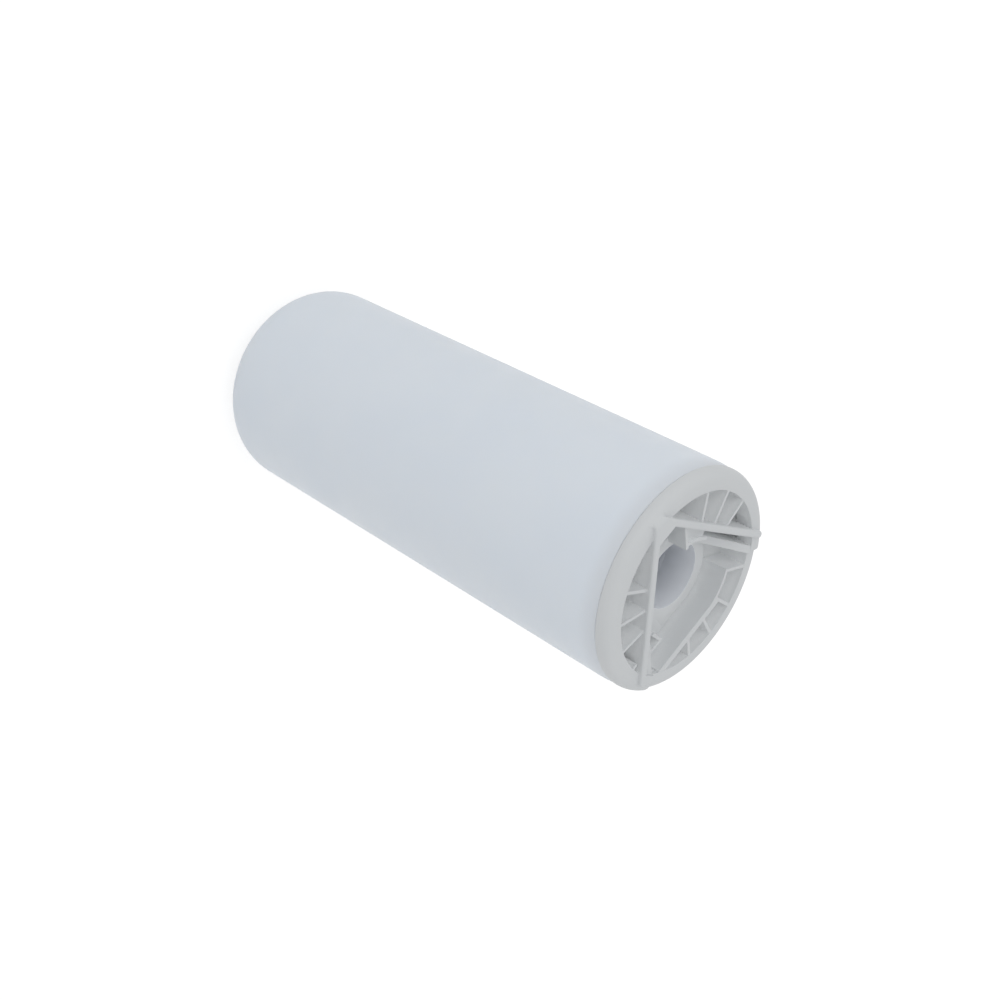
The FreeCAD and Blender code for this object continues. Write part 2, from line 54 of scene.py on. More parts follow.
# %% [markdown]
# Every size below is a real one. Blender counts in metres, so lengths that a moulder would give in
# millimetres are multiplied by `MM`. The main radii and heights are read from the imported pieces'
# own boxes, so the surfaces made here stay where those pieces are.

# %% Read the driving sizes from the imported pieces
MM = 0.001
shell_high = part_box("body_shell")[1]
cap_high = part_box("end_cap")[1]
SHELL_RADIUS = shell_high.x
SEAM_HEIGHT = shell_high.z
print(f"canister {2 * SHELL_RADIUS / MM:.1f} mm across, seam at {SEAM_HEIGHT / MM:.1f} mm, "
      f"top of the ribs at {cap_high.z / MM:.1f} mm")

# %% [markdown]
# ## Surfaces from profiles
# The canister, the tube and its gasket are round, so each is a profile of radius and height that is
# carried once round the axis. A profile could also be spun with Blender's Spin operator or the Screw
# modifier, but a grid of points in one array shows the formula plainly and closes its own seam. The
# profile itself is put together from straight stretches and arcs, each with its count of points.

# %% Helpers for profiles
SAME_PLACE = 1e-7


def arc(centre, radius, start, end, steps):
    """Points on a circle in the (radius, height) plane: centre + radius * (cos t, sin t), with t
    from start to end in degrees."""
    t = np.radians(np.linspace(start, end, steps))
    return np.column_stack([centre[0] + radius * np.cos(t), centre[1] + radius * np.sin(t)])


def line(start, end, steps):
    """Points evenly spaced on a straight stretch: start + t * (end - start), with t from 0 to 1."""
    t = np.linspace(0, 1, steps)[:, None]
    return np.asarray(start) + t * (np.asarray(end) - np.asarray(start))


def join(*stretches):
    """One profile from several stretches, with the points that two of them share kept once."""
    points = np.vstack(stretches)
    step = np.linalg.norm(np.diff(points, axis=0), axis=1)
    return points[np.append(True, step > SAME_PLACE)]


print("a quarter circle in three points:", arc((0, 0), 1, 0, 90, 3).round(3).tolist())

# %% [markdown]
# ## The canister
# The real canister is one moulding in bluish white polypropylene: a plain tube whose closed end
# turns in through a wide round to a flat foot. Towards its mouth the wall draws in by about half a
# millimetre, and beside the end cap's own round that makes the soft groove that reads as a seam. A
# straight wall with a small bevel would give a hard line there instead.

# %% Draw the canister's profile
SHELL_WALL = 3.0 * MM
BASE_WALL = 4.0 * MM
FOOT_ROUND = 17.4 * MM
CHAMBER_ROUND = 14.4 * MM
MOUTH_REACH = 7.0 * MM
MOUTH_INSET = 0.65 * MM
MOUTH_EDGE = 0.15 * MM


def canister_profile():
    """Foot, wide round, wall and mouth, and back down inside. With t from 0 to 1 over the mouth's
    reach, the radius of the crown is the canister's less inset * t^2."""
    inner = SHELL_RADIUS - SHELL_WALL
    t = np.linspace(0, 1, 16)
    crown = np.column_stack([SHELL_RADIUS - MOUTH_INSET * t ** 2, SEAM_HEIGHT - MOUTH_REACH * (1 - t)])
    crown[-1, 1] -= MOUTH_EDGE
    edge = SHELL_RADIUS - MOUTH_INSET - MOUTH_EDGE
    return join(
        line((0, 0), (SHELL_RADIUS - FOOT_ROUND, 0), 8),
        arc((SHELL_RADIUS - FOOT_ROUND, FOOT_ROUND), FOOT_ROUND, -90, 0, 25),
        line((SHELL_RADIUS, FOOT_ROUND), (SHELL_RADIUS, SEAM_HEIGHT - MOUTH_REACH), 60),
        crown,
        arc((edge, SEAM_HEIGHT - MOUTH_EDGE), MOUTH_EDGE, 0, 90, 5),
        line((edge, SEAM_HEIGHT), (inner, SEAM_HEIGHT), 3),
        line((inner, SEAM_HEIGHT), (inner, BASE_WALL + CHAMBER_ROUND), 40),
        arc((inner - CHAMBER_ROUND, BASE_WALL + CHAMBER_ROUND), CHAMBER_ROUND, 0, -90, 17),
        line((inner - CHAMBER_ROUND, BASE_WALL), (0, BASE_WALL), 8),
    )


shell_profile = canister_profile()
print("the canister's profile has", len(shell_profile), "points")

# %% [markdown]
# ### Faces between the rings
# Each point of a profile becomes a ring of vertices. A band of quads joins each ring to the next, and
# a profile that closes on itself, as a gasket's does, has one more band from its last ring to its
# first. Where a profile starts and ends on the axis, a fan of triangles closes each pole.

# %% Helpers for the faces of a round surface


def bands(rings, steps, closed):
    """Quads between each ring of so many steps and the next one. Point number c of ring r is vertex
    r * steps + c, and both numbers start again at 0 after their last."""
    rows = rings if closed else rings - 1
    row, column = np.meshgrid(np.arange(rows), np.arange(steps), indexing="ij")
    above = (row + 1) % rings
    beside = (column + 1) % steps
    return np.stack([row * steps + column, row * steps + beside, above * steps + beside,
                     above * steps + column], axis=-1).reshape(-1, 4)


def pole_fans(rings, steps):
    """Triangles from the first ring to one pole and from the last ring to the other. The two poles
    are the vertices that follow those of the rings."""
    around = np.arange(steps)
    following = (around + 1) % steps
    top = (rings - 1) * steps
    pole = np.full(steps, rings * steps)
    low_fan = np.column_stack([pole, following, around])
    high_fan = np.column_stack([pole + 1, top + around, top + following])
    return np.vstack([low_fan, high_fan])


print("three rings of four points take", len(bands(3, 4, closed=False)), "quads, and closed",
      len(bands(3, 4, closed=True)))

# %% Build the canister
SHELL_STEPS = 192


def add_mesh(name, vertices, faces):
    """A mesh object from an array of places and a list of faces, shaded smooth."""
    mesh = bpy.data.meshes.new(name)
    mesh.from_pydata(vertices.tolist(), [], faces)
    mesh.shade_smooth()
    piece = bpy.data.objects.new(name, mesh)
    scene.collection.objects.link(piece)
    return piece


def revolve(name, profile, steps):
    """A closed surface of revolution. A point (r, h) of the profile goes to (r cos a, r sin a, h)
    for a = 0 to 360 degrees. The profile runs with the solid on its left, and it either closes on
    itself or starts and ends on the axis."""
    on_axis = profile[0, 0] < SAME_PLACE
    ring = profile[1:-1] if on_axis else profile[:-1]
    angle = np.linspace(0, 2 * np.pi, steps, endpoint=False)
    x = ring[:, 0, None] * np.cos(angle)
    y = ring[:, 0, None] * np.sin(angle)
    z = np.broadcast_to(ring[:, 1, None], x.shape)
    vertices = np.stack([x, y, z], axis=-1).reshape(-1, 3)
    faces = bands(len(ring), steps, closed=not on_axis).tolist()
    if on_axis:
        poles = np.array([[0, 0, profile[0, 1]], [0, 0, profile[-1, 1]]])
        vertices = np.vstack([vertices, poles])
        faces += pole_fans(len(ring), steps).tolist()
    return add_mesh(name, vertices, faces)


canister = revolve("canister", shell_profile, SHELL_STEPS)
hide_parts("body_shell")
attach(canister, "root")
print("canister:", len(canister.data.polygons), "faces")

# %% [markdown]
# ## The core tube and its gasket
# A plain tube runs up the middle and carries the treated water out. Only its upper bore is seen,
# down the outlet. The gasket is a flat ring that seals the tube against the end cap. Both are made
# like the canister, but from a profile that closes on itself. The tube's bore widens a little
# towards its mouth, and all edges are broken by a hair, so that they catch some light.

# %% Build the tube and the gasket
tube_low, tube_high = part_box("core_tube")
gasket_low, gasket_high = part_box("tube_gasket")
TUBE_BORE = 13.0 * MM
LEAD_IN = 20.0 * MM
MOUTH_BORE = 13.42 * MM
EDGE_ROUND = 0.06 * MM
RING_STEPS = 128


def make_ring(name, low, high, inner, rows):
    """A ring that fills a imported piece's own box. Over the lead-in its bore opens to the mouth's,
    with radius = inner + (mouth - inner) * (1 - depth / lead_in)^2."""
    outer = high.x
    r = EDGE_ROUND
    height = np.linspace(high.z - r, low.z + r, rows)
    open_share = np.clip(1 - (high.z - height) / LEAD_IN, 0, 1)
    bore = np.column_stack([inner + (MOUTH_BORE - inner) * open_share ** 2, height])
    top, foot = bore[0, 0], bore[-1, 0]
    profile = join(
        line((foot + r, low.z), (outer - r, low.z), 3),
        arc((outer - r, low.z + r), r, -90, 0, 5),
        line((outer, low.z + r), (outer, high.z - r), rows),
        arc((outer - r, high.z - r), r, 0, 90, 5),
        line((outer - r, high.z), (top + r, high.z), 3),
        arc((top + r, high.z - r), r, 90, 180, 5),
        bore,
        arc((foot + r, low.z + r), r, 180, 270, 5),
    )
    return revolve(name, profile, RING_STEPS)


tube = make_ring("outlet_tube", tube_low, tube_high, TUBE_BORE, rows=60)
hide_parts("core_tube")
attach(tube, "root")
gasket = make_ring("tube_seal", gasket_low, gasket_high, MOUTH_BORE, rows=3)
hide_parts("tube_gasket")
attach(gasket, "root")
print("tube:", len(tube.data.polygons), "faces; gasket:", len(gasket.data.polygons), "faces")

# %% [markdown]
# ## The ribbed end cap
# The end cap is one moulding with a rim, two long key ribs, sloping arms, gussets and a collar. Its
# plan is all straight walls that run into round ones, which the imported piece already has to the
# tenth of a millimetre. So the work starts from a copy of that mesh: its loose triangles are welded,
# and flat faces are joined up again, so that a bevel can follow the true corners later. Modelling it
# again from subdivision surfaces would be slower and would soften the thin gussets too much.

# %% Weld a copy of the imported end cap
WELD_DISTANCE = 0.002 * MM
FLAT_ANGLE = np.radians(0.6)


def welded_mesh(node, name):
    """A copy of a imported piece's mesh whose loose triangles are welded, and joined up where they
    lie in one plane."""
    grid = bmesh.new()
    grid.from_mesh(nodes[node].data)
    bmesh.ops.remove_doubles(grid, verts=grid.verts, dist=WELD_DISTANCE)
    bmesh.ops.dissolve_limit(grid, angle_limit=FLAT_ANGLE, verts=grid.verts, edges=grid.edges)
    mesh = bpy.data.meshes.new(name)
    grid.to_mesh(mesh)
    grid.free()
    return mesh


cap_mesh = welded_mesh("end_cap", "ribbed_end")
print("welded cap:", len(nodes["end_cap"].data.polygons), "triangles became",
      len(cap_mesh.polygons), "faces")

# %% [markdown]
# ### The low part of the rim
# On the +X side, between the ends of the key ribs, the rim is 1.5 mm lower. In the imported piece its
# outer round is narrower there. The real moulding keeps one round all the way, so the points on the
# narrow round are moved in to the wide one. Moving them keeps the mesh closed, which cutting a new
# round into it might not.

# %% Widen the round of the low rim
CAP_RADIUS = 44.2 * MM
LAND = 231.2 * MM
RIM_ROUND = 4.4 * MM
RIM_DROP = 1.5 * MM
LOW_RIM_HALF = 56.0
NEAR = 0.03 * MM
NEAR_ANGLE = 0.1


def low_rim_round(places):
    """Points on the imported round, whose radius is cap radius - r + sqrt(r^2 - h^2), with h their
    height over its centre, go to the same formula with the wider round's r and h. That holds over
    the angle where the rim is low, and at its ends for what lies above the centre."""
    x, y, z = places.T
    radius = np.hypot(x, y)
    step = RIM_ROUND - RIM_DROP
    centre = LAND - RIM_ROUND
    h = np.clip(z - centre, 0, step)
    packed = CAP_RADIUS - step + np.sqrt(step ** 2 - h ** 2)
    g = np.clip(z - (LAND - RIM_DROP - RIM_ROUND), 0, RIM_ROUND)
    wider = CAP_RADIUS - RIM_ROUND + np.sqrt(RIM_ROUND ** 2 - g ** 2)
    level = (z > centre - NEAR) & (z < LAND - RIM_DROP + NEAR)
    angle = np.abs(np.degrees(np.arctan2(y, x)))
    between = angle < LOW_RIM_HALF - NEAR_ANGLE
    on_end = (np.abs(angle - LOW_RIM_HALF) < NEAR_ANGLE) & (z > centre + NEAR)
    on_round = (np.abs(radius - packed) < NEAR) & level & (between | on_end)
    factor = np.where(on_round, wider / radius, 1)
    return np.column_stack([x * factor, y * factor, z])


packed_places = np.empty(3 * len(cap_mesh.vertices))
cap_mesh.vertices.foreach_get("co", packed_places)
rounded_places = low_rim_round(packed_places.reshape(-1, 3)).ravel()
cap_mesh.vertices.foreach_set("co", rounded_places)
print("the low rim's round moved in by up to",
      f"{np.abs(rounded_places - packed_places).max() / MM:.2f} mm along x or y")

# %% [markdown]
# ### Closed solids under a surface
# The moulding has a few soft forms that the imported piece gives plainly. Each one is added as a closed
# solid that sits in the cap: its top is a function of two parameters on a grid, and its sides and
# underside are hidden in the walls. Boolean unions would join such solids too, but they break easily
# where faces nearly coincide, and for the eye, solids that overlap are one moulding already. Where an
# added face covers a packed one, it stands proud of it by a fiftieth of a millimetre or half that.

# %% Helpers for closed solids
PROUD = 0.02 * MM


def pairs(first, second, rows, columns):
    """Two arrays with every pair of values from two ranges: the first range runs down the rows, the
    second along the columns."""
    return np.meshgrid(np.linspace(*first, rows), np.linspace(*second, columns), indexing="ij")


def solid_under(x, y, top, low):
    """The closed solid under a surface: a grid of points (x, y, top), walls straight down from its
    four sides, and a flat underside at a level."""
    rows, columns = x.shape
    upper = np.stack([x, y, top], axis=-1).reshape(-1, 3)
    lower = np.stack([x, y, np.full(x.shape, low)], axis=-1).reshape(-1, 3)
    at = np.arange(rows * columns).reshape(rows, columns)
    quads = np.stack([at[:-1, :-1], at[1:, :-1], at[1:, 1:], at[:-1, 1:]], axis=-1).reshape(-1, 4)
    rim = np.concatenate([at[:, 0], at[-1, 1:], at[-2::-1, -1], at[0, -2:0:-1]])
    after = np.roll(rim, -1)
    under = rows * columns
    walls = np.column_stack([rim + under, after + under, after, rim])
    faces = np.vstack([quads, quads[:, ::-1] + under, walls])
    return np.vstack([upper, lower]), faces.tolist()


def ease(t):
    """The smooth step 3t^2 - 2t^3, held at 0 and 1 outside t = 0 to 1."""
    t = np.clip(t, 0, 1)
    return t * t * (3 - 2 * t)


print("the smooth step takes 0, 0.25, 0.5, 0.75 and 1 to", ease(np.linspace(0, 1, 5)).round(3).tolist())

# %% [markdown]
# ### The corner where the key ribs meet
# The two key ribs run towards each other and would meet outside the rim. The moulding fills the
# sharp corner between them up to their tops, and that filling runs out softly into the rim. A bevel
# can't make such a form, because its width changes all the way, so it is worked out as a surface.

# %% Fill the corner of the key ribs
RIB_ANGLE = np.radians(31.9)
RIB_OFFSET = 22.4 * MM
RIB_WIDTH = 3.0 * MM
RIB_ROUND = 0.9 * MM
RIB_TOP = cap_high.z - PROUD
RIB_CORNER = -(RIB_OFFSET + RIB_WIDTH / 2) / np.sin(RIB_ANGLE)
APEX_SPAN = (-43.2 * MM, -33.24 * MM)
APEX_REACH = 4.0 * MM
APEX_FLANK = 3.0 * MM
APEX_DEPTH = 3.0 * MM
FLANK_CLOSED = -39.8 * MM
ALMOST = 0.99


def apex_blend():
    """Along x the height goes from the land's to the ribs' with the smooth step. Across, the flanks
    start wide and close up to the ribs' own rounded edge, so with m from 1 to 0 the height is
    m * (smooth flank) + (1 - m) * (quarter round)."""
    x, v = pairs(APEX_SPAN, (-1, 1), rows=56, columns=61)
    half = (x - RIB_CORNER) * np.tan(RIB_ANGLE)
    m = (1 - ease((x - APEX_SPAN[0]) / (FLANK_CLOSED - APEX_SPAN[0]))) ** 2
    spread = PROUD + APEX_FLANK * m
    y = np.sin(np.pi / 2 * v) * (half + spread)
    beyond = np.clip(np.hypot(x, y) - (CAP_RADIUS - RIM_ROUND), 0, ALMOST * RIM_ROUND)
    land = LAND - RIM_ROUND + np.sqrt(RIM_ROUND ** 2 - beyond ** 2)
    rise = ease((x - APEX_SPAN[0]) / APEX_REACH)
    out = np.abs(y) - (half + PROUD - RIB_ROUND)
    smooth_flank = (RIB_TOP - land) * (1 - ease(out / (spread + RIB_ROUND)))
    edge = np.clip(out, 0, RIB_ROUND)
    quarter_round = RIB_TOP - land - RIB_ROUND + np.sqrt(RIB_ROUND ** 2 - edge ** 2)
    top = land + rise * (m * smooth_flank + (1 - m) * quarter_round) - (1 - rise) * PROUD
    return solid_under(x, y, top, LAND - APEX_DEPTH)


additions = [apex_blend()]
print("corner of the key ribs:", len(additions[0][1]), "faces")

# %% [markdown]
# ### The first stretch of the key ribs
# From that corner on, both ribs have their full height at once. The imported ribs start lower, the one
# on the +Y side for longer. So each gets a bar with the rib's own section, laid over it as far as it
# lies low. Everything along a rib is easiest to give in the rib's own directions, `along` it and
# `out` from the axis, which one small helper turns into x and y.

# %% Raise the first stretch of the key ribs
RIB_STRETCH = {1: (-31.0 * MM, -8.0 * MM), -1: (-31.0 * MM, -22.0 * MM)}
RIB_DEPTH = 3.5 * MM


def key_place(side, along, out):
    """x = along * cos a - out * sin a and y = side * (along * sin a + out * cos a), where a is the
    key ribs' angle and side is 1 or -1."""
    x = along * np.cos(RIB_ANGLE) - out * np.sin(RIB_ANGLE)
    return x, side * (along * np.sin(RIB_ANGLE) + out * np.cos(RIB_ANGLE))


def rib_start(side):
    """The rib's section is its width with a quarter circle at both upper edges: over the last r of
    the width, the height is top - r + sqrt(r^2 - edge^2)."""
    along, v = pairs(RIB_STRETCH[side], (-1, 1), rows=12, columns=25)
    across = np.sin(np.pi / 2 * v) * (RIB_WIDTH / 2 + PROUD / 2)
    edge = np.clip(np.abs(across) - (RIB_WIDTH / 2 - RIB_ROUND), 0, RIB_ROUND)
    top = RIB_TOP - PROUD - RIB_ROUND + np.sqrt(RIB_ROUND ** 2 - edge ** 2)
    x, y = key_place(side, along, RIB_OFFSET + side * across)
    return solid_under(x, y, top, LAND - RIB_DEPTH)


additions += [rib_start(1), rib_start(-1)]
print("ribs raised over", ", ".join(f"{(end - start) / MM:.0f} mm" for start, end in RIB_STRETCH.values()))

# %% [markdown]
# ### The web beside the collar
# Beside the collar a flat web lies level with the collar's top and reaches to the small leaning wall
# at the corner. It is a plain slab whose outer side follows that wall.

# %% Carry the web on to the corner wall
COLLAR_TOP = 222.9 * MM
WEB_SPAN = (3.0 * MM, 17.83 * MM)
WEB_INNER = -13.9 * MM
WEB_DEPTH = 4.5 * MM
CORNER_WALL = (16.7 * MM, -18.0 * MM)
CORNER_LEAN = np.radians(15)


def web_filling():
    """The web runs to the middle of the wall, the line y = corner_y - (corner_x - x) * tan(lean)."""
    x, v = pairs(WEB_SPAN, (0, 1), rows=12, columns=4)
    wall = CORNER_WALL[1] - (CORNER_WALL[0] - x) * np.tan(CORNER_LEAN)
    y = wall + v * (WEB_INNER - wall)
    return solid_under(x, y, np.full(x.shape, COLLAR_TOP + PROUD), COLLAR_TOP - WEB_DEPTH)


additions.append(web_filling())
print(f"web level with the collar at {COLLAR_TOP / MM:.1f} mm")

# %% [markdown]
# ### The narrow place beside the fence
# Between the curved fence and the straight key rib only a sliver would be left, which is hard to
# mould, and the photograph shows it filled nearly to the top. Seen from above the filling lies
# between a circle and a straight line.

# %% Fill the narrow place beside the fence
FENCE_RADIUS = 18.5 * MM
FENCE_FILL = 229.6 * MM
FENCE_DEPTH = 5.0 * MM
FENCE_TURN = (126, 160)


def fence_filling():
    """For each angle the filling runs from the rib's inner side, at radius offset / cos(angle - the
    rib's own normal), in to the fence's circle."""
    angle, v = pairs(np.radians(FENCE_TURN), (0, 1), rows=24, columns=6)
    rib_side = (RIB_OFFSET - RIB_WIDTH / 2) / np.cos(angle - RIB_ANGLE - np.pi / 2)
    radius = rib_side + v * (FENCE_RADIUS - rib_side)
    x, y = radius * np.cos(angle), radius * np.sin(angle)
    return solid_under(x, y, np.full(x.shape, FENCE_FILL), FENCE_FILL - FENCE_DEPTH)


additions.append(fence_filling())
print(f"fence filled to {FENCE_FILL / MM:.1f} mm")

# %% [markdown]
# ### The end of the upper arm
# The sloping arm on the +Y side climbs from the collar to the top of the rim and ends there in a
# round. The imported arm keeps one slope, which leaves the collar's level at the arm's start, and meets
# the rim lower down. So its far part gets a top that leaves that slope gently and reaches the land,
# like a ramp with no kink at its foot.

# %% Lift the end of the upper arm
ARM_OFFSET = 15.6 * MM
ARM_WIDTH = 3.0 * MM
ARM_START = -3.0 * MM
ARM_SLOPE = 0.1806
ARM_LIFT = (5.0 * MM, 33.5 * MM)
ARM_TIP = 34.3 * MM
ARM_DEPTH = 5.0 * MM
TIP_TURN = (0, 85)


def arm_end():
    """With t from 0 to 1 over the lift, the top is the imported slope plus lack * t^2, where lack is
    what that slope misses to the land. In plan the end is a half circle, cut off where it is nearly
    closed so that no face shrinks to a line."""
    r = ARM_WIDTH / 2
    turn = np.radians(np.linspace(*TIP_TURN, 10))
    straight = np.linspace(ARM_LIFT[0], ARM_TIP - r, 24)[:-1]
    length = np.append(straight, ARM_TIP - r + r * np.sin(turn))
    half = np.append(np.full(len(straight), r), r * np.cos(turn)) + PROUD / 2
    along, v = np.meshgrid(length, np.linspace(-1, 1, 13), indexing="ij")
    t = np.clip((along - ARM_LIFT[0]) / (ARM_LIFT[1] - ARM_LIFT[0]), 0, 1)
    slope = COLLAR_TOP + ARM_SLOPE * (along - ARM_START)
    lack = LAND - COLLAR_TOP - ARM_SLOPE * (ARM_LIFT[1] - ARM_START)
    top = np.minimum(slope + lack * t ** 2, LAND) + PROUD
    x, y = key_place(1, along, ARM_OFFSET + v * half[:, None])
    return solid_under(x, y, top, COLLAR_TOP - ARM_DEPTH)


additions.append(arm_end())
print(f"upper arm's end lifted to {LAND / MM:.1f} mm")

# %% [markdown]
# ### One moulding with soft corners
# The added solids join the welded mesh, and a small bevel gives every corner the radius that a real
# mould leaves. A Bevel modifier does that by angle, so it finds the corners by itself. Its hardened
# normals keep the flat faces flat to the light.

# %% Join the solids to the cap and round its corners
CORNER_ROUND = 0.32 * MM
CORNER_ANGLE = np.radians(28)
CORNER_SEGMENTS = 3


def add_solids(mesh, solids):
    """Puts closed solids, each an array of places and a list of faces, into a mesh."""
    grid = bmesh.new()
    grid.from_mesh(mesh)
    for vertices, faces in solids:
        extra = bpy.data.meshes.new("addition")
        extra.from_pydata(vertices.tolist(), [], faces)
        grid.from_mesh(extra)
        bpy.data.meshes.remove(extra)
    grid.to_mesh(mesh)
    grid.free()


add_solids(cap_mesh, additions)
cap_mesh.shade_smooth()
end_cap = bpy.data.objects.new("ribbed_end", cap_mesh)
scene.collection.objects.link(end_cap)
bevel = end_cap.modifiers.new("corner rounds", "BEVEL")
bevel.width = CORNER_ROUND
bevel.segments = CORNER_SEGMENTS
bevel.limit_method = "ANGLE"
bevel.angle_limit = CORNER_ANGLE
bevel.use_clamp_overlap = True
bevel.harden_normals = True
bevel.miter_outer = "MITER_ARC"
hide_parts("end_cap")
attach(end_cap, "root")
print("end cap:", len(end_cap.data.polygons), "faces before the bevel")

# %% [markdown]
# ## Finishes
# The canister and the cap are satin polypropylene. Such plastic has a fine grain from the mould and
# varies a little in tone and in shine. Each finish is a small tree of nodes round one Principled
# shader. Noise on Object coordinates carries the grain, because it stays put on the piece, and it
# needs no picture. The helpers below each add one step of such a tree.

# %% Helpers that start a finish and mix its colours


def shader_of(finish):
    """The Principled shader of a finish."""
    return finish.node_tree.nodes["Principled BSDF"]


def new_finish(name, colour):
    """A node material whose shader has one plain colour so far."""
    finish = bpy.data.materials.new(name)
    finish.use_nodes = True
    shader_of(finish).inputs["Base Color"].default_value = (*colour, 1)
    return finish


def object_place(finish):
    """The place of the shaded point on its own piece, in metres."""
    return finish.node_tree.nodes.new("ShaderNodeTexCoord").outputs["Object"]


def mix_over(finish, share, colour):
    """Mixes a colour over what the shader has already: (what it has) * (1 - share) + colour * share."""
    links = finish.node_tree.links
    base = shader_of(finish).inputs["Base Color"]
    tone = finish.node_tree.nodes.new("ShaderNodeMix")
    tone.data_type = "RGBA"
    tone.inputs["B"].default_value = (*colour, 1)
    if base.is_linked:
        links.new(base.links[0].from_socket, tone.inputs["A"])
    else:
        tone.inputs["A"].default_value = base.default_value[:]
    links.new(share, tone.inputs["Factor"])
    links.new(tone.outputs["Result"], base)


print("materials before the finishes:", len(bpy.data.materials))

# %% [markdown]
# Three more steps come back in most finishes: a noise, a change of its range, and a relief that tilts
# the surface for the light without moving it.

# %% Helpers for patterns and relief
NOISE_SPAN = (0.3, 0.7)


def add_noise(finish, place, grain, detail):
    """Noise whose features are about one grain across, in metres: its scale is 1 / grain."""
    noise = finish.node_tree.nodes.new("ShaderNodeTexNoise")
    noise.inputs["Scale"].default_value = 1 / grain
    noise.inputs["Detail"].default_value = detail
    finish.node_tree.links.new(place, noise.inputs["Vector"])
    return noise.outputs["Fac"]


def add_range(finish, source, span, low, high):
    """A Map Range node that takes a span of the source to the range from low to high, and holds
    what lies outside the span at its ends."""
    mapped = finish.node_tree.nodes.new("ShaderNodeMapRange")
    mapped.inputs["From Min"].default_value = span[0]
    mapped.inputs["From Max"].default_value = span[1]
    mapped.inputs["To Min"].default_value = low
    mapped.inputs["To Max"].default_value = high
    finish.node_tree.links.new(source, mapped.inputs["Value"])
    return mapped


def add_relief(finish, height, strength, depth):
    """A Bump node on the shader's normal, where the height 1 stands a depth, in metres, over 0."""
    relief = finish.node_tree.nodes.new("ShaderNodeBump")
    relief.inputs["Strength"].default_value = strength
    relief.inputs["Distance"].default_value = depth
    finish.node_tree.links.new(height, relief.inputs["Height"])
    finish.node_tree.links.new(relief.outputs["Normal"], shader_of(finish).inputs["Normal"])
    return relief


print(f"a grain of 1 mm is a noise scale of {1 / MM:.0f}")

# %% [markdown]
# ### Moulded plastic
# One function makes every plastic, so that they differ only in the numbers that a moulder would
# name. In the canister some light goes in and comes out again nearby, which subsurface scattering
# gives. The cap goes without it: where closed solids overlap, scattering leaves smudges.

# %% Make the plastic of the canister
CLOUD_SIZE = 35.0 * MM
WEAR_SIZE = 12.0 * MM
WEAR_SWING = 0.05
GRAIN_STRENGTH = 0.35
PLASTIC_IOR = 1.49
SCATTER_RADIUS = (1.0, 0.9, 0.8)
SCATTER_REACH = 2.5 * MM


def satin_plastic(name, colour, cloud_colour, roughness, grain, grain_depth, glow):
    """Moulded plastic: two close tones in soft clouds, patches that are a little more or less shiny,
    a fine grain in relief and, where glow is above 0, light that scatters into the wall."""
    finish = new_finish(name, colour)
    place = object_place(finish)
    clouds = add_noise(finish, place, CLOUD_SIZE, detail=3)
    mix_over(finish, add_range(finish, clouds, NOISE_SPAN, 0, 1).outputs["Result"], cloud_colour)
    wear = add_noise(finish, place, WEAR_SIZE, detail=4)
    shine = add_range(finish, wear, NOISE_SPAN, roughness - WEAR_SWING, roughness + WEAR_SWING)
    shader = shader_of(finish)
    finish.node_tree.links.new(shine.outputs["Result"], shader.inputs["Roughness"])
    add_relief(finish, add_noise(finish, place, grain, detail=2), GRAIN_STRENGTH, grain_depth)
    shader.inputs["IOR"].default_value = PLASTIC_IOR
    shader.inputs["Subsurface Weight"].default_value = glow
    shader.inputs["Subsurface Radius"].default_value = SCATTER_RADIUS
    shader.inputs["Subsurface Scale"].default_value = SCATTER_REACH
    return finish


shell_plastic = satin_plastic("satin bluish white plastic", colour=(0.72, 0.77, 0.825),
                              cloud_colour=(0.70, 0.755, 0.82), roughness=0.46,
                              grain=0.35 * MM, grain_depth=0.02 * MM, glow=0.25)
canister.data.materials.append(shell_plastic)
print("canister:", shell_plastic.name)

# %% [markdown]
# ### The shaded mouth
# Near the joint, light that entered the canister's wall is lost into the crack, so translucent
# plastic looks darker and bluer there. A real scattering of that depth would take many more samples.
# The shade is painted instead: the tone is shifted by height, darker and bluer towards the seam.

# %% Shade the canister's mouth
MOUTH_SHADE = 9.0 * MM
MOUTH_PAINTED_SHADE = (0.645, 0.682, 0.727)


def shade_by_height(finish, low, high, colour):
    """Takes a finish from its own colour at one height to another colour at a second height, with
    the smooth step between them."""
    split = finish.node_tree.nodes.new("ShaderNodeSeparateXYZ")
    finish.node_tree.links.new(object_place(finish), split.inputs["Vector"])
    reach = add_range(finish, split.outputs["Z"], (low, high), 0, 1)
    reach.interpolation_type = "SMOOTHSTEP"
    mix_over(finish, reach.outputs["Result"], colour)


# Painted shade: the canister's colour turns darker and bluer over the last 9 mm below the seam.
shade_by_height(shell_plastic, SEAM_HEIGHT - MOUTH_SHADE, SEAM_HEIGHT, MOUTH_PAINTED_SHADE)
print(f"mouth shaded from {(SEAM_HEIGHT - MOUTH_SHADE) / MM:.1f} mm up")

# %% [markdown]
# ### The cap's deep bays
# Thin walls pass light on to one another, so a deep bay of milky plastic looks nearly as bright as
# the open land beside it. That light is painted: the Ambient Occlusion node measures how deep a point
# lies in the piece itself, and a paler tone is mixed in by that depth as painted light.

# %% Make the plastic of the cap and paint light into its bays
BAY_REACH = 14.0 * MM
BAY_LIMIT = 0.68
BAY_PAINTED_LIGHT = (0.93, 0.943, 0.95)
BAY_SAMPLES = 8


def paint_light_in_hollows(finish, reach, limit, colour):
    """The open share of the half sphere over a point, within a reach, says how deep the point lies.
    The paler colour's share is 1 - open / limit: none at the limit and above, and all at 0."""
    hollow = finish.node_tree.nodes.new("ShaderNodeAmbientOcclusion")
    hollow.samples = BAY_SAMPLES
    hollow.only_local = True
    hollow.inputs["Distance"].default_value = reach
    # The paler colour is painted light: its share grows as the point lies deeper in a hollow.
    depth = add_range(finish, hollow.outputs["AO"], (0, limit), 1, 0)
    mix_over(finish, depth.outputs["Result"], colour)


